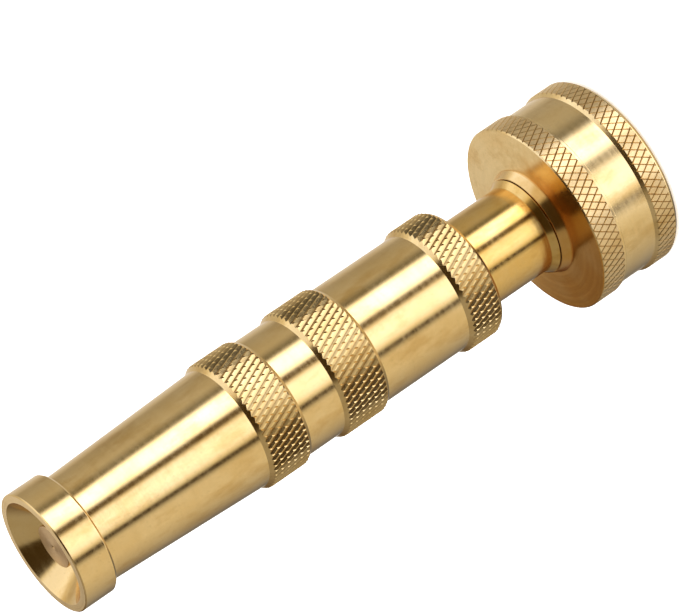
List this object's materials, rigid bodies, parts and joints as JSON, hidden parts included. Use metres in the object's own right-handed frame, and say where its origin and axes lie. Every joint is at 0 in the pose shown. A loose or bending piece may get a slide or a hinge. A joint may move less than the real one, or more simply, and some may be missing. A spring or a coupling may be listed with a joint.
{
  "type": "hose spray nozzle",
  "caption": "Adjustable twist spray nozzle: knurled tapered barrel screwing on a hollow stem, with a flared outlet, a spray pin and a swivelling knurled hose coupling.",
  "frame": {"origin": "centre of the coupling nut's flat hose end, which is the bottom of the part", "axes": "+Z along the spray axis from the hose end to the outlet; X and Y are free because the part is round"},
  "size_m": [0.032, 0.032, 0.1106],
  "materials": {
    "brass": "satin, fine lathe lines around the axis",
    "washer_rubber": "matt moulded",
    "seal_rubber": "smooth moulded",
    "ring_steel": "bright spring wire"
  },
  "bodies": {
    "coupling": {"coupling_nut": "brass", "hose_washer": "washer_rubber"},
    "stem_body": {"stem": "brass", "retaining_ring": "ring_steel", "swivel_o_ring": "seal_rubber", "spray_pin": "brass", "pin_seal": "seal_rubber"},
    "seal_slide": {"barrel_seal": "seal_rubber"},
    "barrel_body": {"barrel": "brass"}
  },
  "joints": [
    {"name": "coupling_swivel", "type": "hinge", "parent": "coupling", "child": "stem_body", "pos_m": [0, 0, 0.0155], "axis": [0, 0, 1], "continuous": true},
    {"name": "barrel_travel", "type": "slide", "parent": "stem_body", "child": "seal_slide", "axis": [0, 0, 1], "range_m": [0, 0.008]},
    {"name": "barrel_turn", "type": "hinge", "parent": "seal_slide", "child": "barrel_body", "pos_m": [0, 0, 0.05], "axis": [0, 0, 1], "range_deg": [0, 1440]}
  ],
  "couplings": [
    {"joint": "barrel_turn", "follows": "barrel_travel", "rad_per_m": 3141.6}
  ]
}
